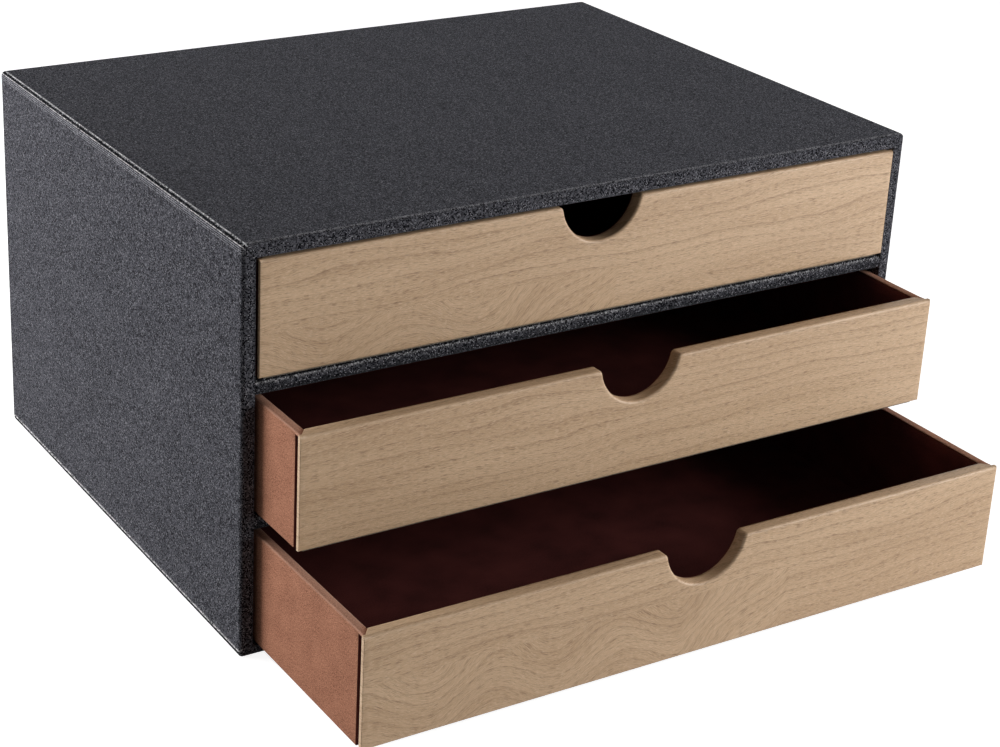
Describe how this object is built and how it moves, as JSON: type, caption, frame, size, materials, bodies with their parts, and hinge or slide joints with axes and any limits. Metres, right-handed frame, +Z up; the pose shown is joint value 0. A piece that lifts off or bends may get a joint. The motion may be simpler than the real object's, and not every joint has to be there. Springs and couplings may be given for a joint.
{
  "type": "desktop drawer organizer",
  "caption": "Free-standing desk organizer: a cloth-covered case of board with full-width wood-grain drawers, each with a half-round finger notch.",
  "frame": {"origin": "middle of the flat underside of the case", "axes": "+Z up, +Y to the back, +X to the right as seen from the front; the drawers slide out along -Y"},
  "size_m": [0.335, 0.3472, 0.1825],
  "materials": {
    "cloth": "charcoal bookbinding cloth, fine twill weave, matt",
    "board": "grey-brown fibreboard, raw",
    "oak_skin": "light oak veneer with horizontal grain, satin",
    "rust_paper": "rust-brown suede-like paper, matt",
    "dark_lining": "dark brown lining paper, matt"
  },
  "bodies": {
    "case": {"left_board": "board", "right_board": "board", "top_board": "board", "bottom_board": "board", "back_board": "board", "upper_shelf_board": "board", "lower_shelf_board": "board", "left_cover": "cloth", "right_cover": "cloth", "top_cover": "cloth", "bottom_cover": "cloth", "back_cover": "cloth", "back_lining": "dark_lining", "upper_shelf_cover": "cloth", "lower_shelf_cover": "cloth"},
    "top_drawer": {"top_left_wall": "board", "top_right_wall": "board", "top_back_wall": "board", "top_front_wall": "board", "top_floor": "board", "top_facing_board": "board", "top_facing_skin": "oak_skin", "top_wrap": "rust_paper", "top_lining": "dark_lining"},
    "middle_drawer": {"middle_left_wall": "board", "middle_right_wall": "board", "middle_back_wall": "board", "middle_front_wall": "board", "middle_floor": "board", "middle_facing_board": "board", "middle_facing_skin": "oak_skin", "middle_wrap": "rust_paper", "middle_lining": "dark_lining"},
    "bottom_drawer": {"bottom_left_wall": "board", "bottom_right_wall": "board", "bottom_back_wall": "board", "bottom_front_wall": "board", "bottom_floor": "board", "bottom_facing_board": "board", "bottom_facing_skin": "oak_skin", "bottom_wrap": "rust_paper", "bottom_lining": "dark_lining"}
  },
  "joints": [
    {"name": "top_drawer_slide", "type": "slide", "parent": "case", "child": "top_drawer", "axis": [0, -1, 0], "range_m": [0, 0.2]},
    {"name": "middle_drawer_slide", "type": "slide", "parent": "case", "child": "middle_drawer", "axis": [0, -1, 0], "range_m": [-0.035, 0.165]},
    {"name": "bottom_drawer_slide", "type": "slide", "parent": "case", "child": "bottom_drawer", "axis": [0, -1, 0], "range_m": [-0.088, 0.112]}
  ]
}
